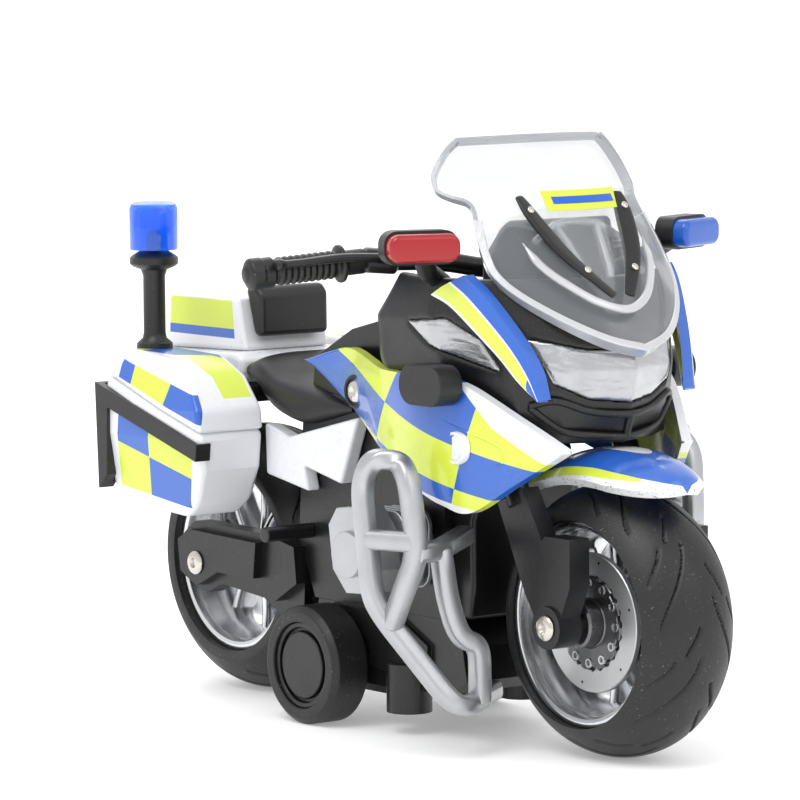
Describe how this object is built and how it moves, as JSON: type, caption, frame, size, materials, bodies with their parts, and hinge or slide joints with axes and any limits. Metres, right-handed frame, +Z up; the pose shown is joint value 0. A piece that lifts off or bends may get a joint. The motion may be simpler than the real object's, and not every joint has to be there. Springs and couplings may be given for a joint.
{
  "type": "toy motorcycle",
  "caption": "Pull-back toy patrol motorcycle with a steering front end, free-rolling wheels, clear screen, panniers, crash bars and a rear beacon.",
  "frame": {"origin": "on the ground, under the middle of the toy's bounding box", "axes": "+X forwards, +Y to the rider's left, +Z up"},
  "size_m": [0.08, 0.045, 0.055],
  "materials": {
    "tyre_rubber": "dusty black rubber",
    "rim_silver": "plated silver",
    "steel": "bright pin",
    "frame_black": "satin black",
    "black_plastic": "fine grained",
    "grip_rubber": "ribbed",
    "seat_vinyl": "satin",
    "silver_paint": "fine metallic",
    "fairing_paint": "gloss white with checks",
    "white_plastic": "gloss white",
    "clear_plastic": "clear moulded",
    "red_lens": "gloss red",
    "blue_lens": "gloss blue",
    "beacon_blue": "translucent blue",
    "bulb_dark": "dark",
    "gear_nylon": "natural nylon",
    "motor_case": "dark moulded"
  },
  "bodies": {
    "chassis": {"screws": "steel", "main_frame": "frame_black", "lower_frame": "frame_black", "swing_arm": "frame_black", "engine_block": "frame_black", "intake_grille": "black_plastic", "nose_cowl": "black_plastic", "tank_cover": "black_plastic", "siren_horns": "black_plastic", "screen_brackets": "black_plastic", "lamp_pods": "black_plastic", "rear_mudguard": "black_plastic", "pannier_trims": "black_plastic", "beacon_pole": "black_plastic", "foot_pegs": "black_plastic", "back_pad": "black_plastic", "seat": "seat_vinyl", "crash_bar_right": "silver_paint", "crash_bar_left": "silver_paint", "cylinder_heads": "silver_paint", "exhaust": "silver_paint", "fairing_panel_right": "fairing_paint", "fairing_panel_left": "fairing_paint", "nose_blades": "fairing_paint", "side_panels": "white_plastic", "tail_deck": "white_plastic", "radio_box": "white_plastic", "pannier_cases": "white_plastic", "pannier_lids": "white_plastic", "windscreen": "clear_plastic", "side_lamp_lenses": "clear_plastic", "headlamp_lens": "clear_plastic", "instrument_cluster": "clear_plastic", "lamp_lens_red": "red_lens", "tail_lamp": "red_lens", "lamp_lens_blue": "blue_lens", "beacon_lens": "beacon_blue", "beacon_bulb": "bulb_dark", "motor_shell_right": "motor_case", "motor_shell_left": "motor_case"},
    "steering": {"fork_legs": "black_plastic", "steering_stem": "black_plastic", "handlebar": "black_plastic", "grips": "grip_rubber", "levers": "black_plastic", "front_fender": "fairing_paint"},
    "front_wheel": {"front_tyre": "tyre_rubber", "front_rim": "rim_silver", "brake_discs": "rim_silver", "front_axle": "steel"},
    "rear_wheel": {"rear_tyre": "tyre_rubber", "rear_rim": "rim_silver", "rear_axle": "steel"},
    "drive": {"drive_axle": "steel", "drive_pinion": "gear_nylon", "motor_wheels": "black_plastic", "motor_tyres": "tyre_rubber"},
    "idler": {"idler_gear": "gear_nylon"},
    "barrel": {"barrel_gear": "gear_nylon", "mainspring": "steel"}
  },
  "joints": [
    {"name": "steer", "type": "hinge", "parent": "chassis", "child": "steering", "pos_m": [0.012, 0, 0.04], "axis": [-0.4384, 0, 0.8988], "range_deg": [-15, 15]},
    {"name": "front_wheel_spin", "type": "hinge", "parent": "steering", "child": "front_wheel", "pos_m": [0.0278, 0, 0.0122], "axis": [0, 1, 0], "continuous": true},
    {"name": "rear_wheel_spin", "type": "hinge", "parent": "chassis", "child": "rear_wheel", "pos_m": [-0.024, 0, 0.0128], "axis": [0, 1, 0], "continuous": true},
    {"name": "drive_spin", "type": "hinge", "parent": "chassis", "child": "drive", "pos_m": [-0.004, 0, 0.0055], "axis": [0, 1, 0], "continuous": true},
    {"name": "idler_spin", "type": "hinge", "parent": "chassis", "child": "idler", "pos_m": [-0.00018, 0, 0.01006], "axis": [0, 1, 0], "continuous": true},
    {"name": "barrel_spin", "type": "hinge", "parent": "chassis", "child": "barrel", "pos_m": [-0.00172, 0, 0.01581], "axis": [0, 1, 0], "continuous": true}
  ],
  "couplings": [
    {"joint": "idler_spin", "follows": "drive_spin", "ratio": -0.41667},
    {"joint": "barrel_spin", "follows": "drive_spin", "ratio": 0.17361}
  ]
}
